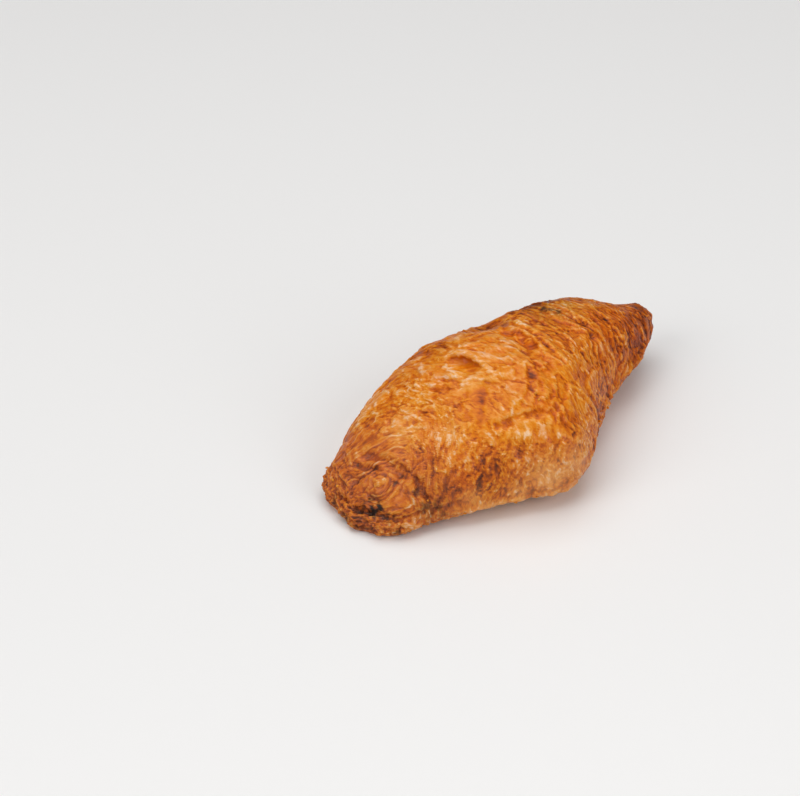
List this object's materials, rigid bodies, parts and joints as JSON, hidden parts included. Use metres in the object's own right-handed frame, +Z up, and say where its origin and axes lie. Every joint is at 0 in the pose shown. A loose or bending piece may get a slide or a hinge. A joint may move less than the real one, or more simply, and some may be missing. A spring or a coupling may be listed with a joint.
{
  "type": "cabbage pie",
  "caption": "Hand-sized baked puff pastry pie with a cabbage filling, closed all round, with a blunt pinched end and a narrow raised tip.",
  "frame": {"origin": "middle of the bounding box, at the level the pie rests on", "axes": "+X from the blunt end to the raised tip, +Y towards the flatter long side, +Z up"},
  "size_m": [0.1544, 0.0786, 0.0439],
  "materials": {
    "crust": "egg-washed puff pastry baked golden brown, satin"
  },
  "bodies": {
    "root": {"cabbage_pie": "crust"}
  },
  "joints": []
}
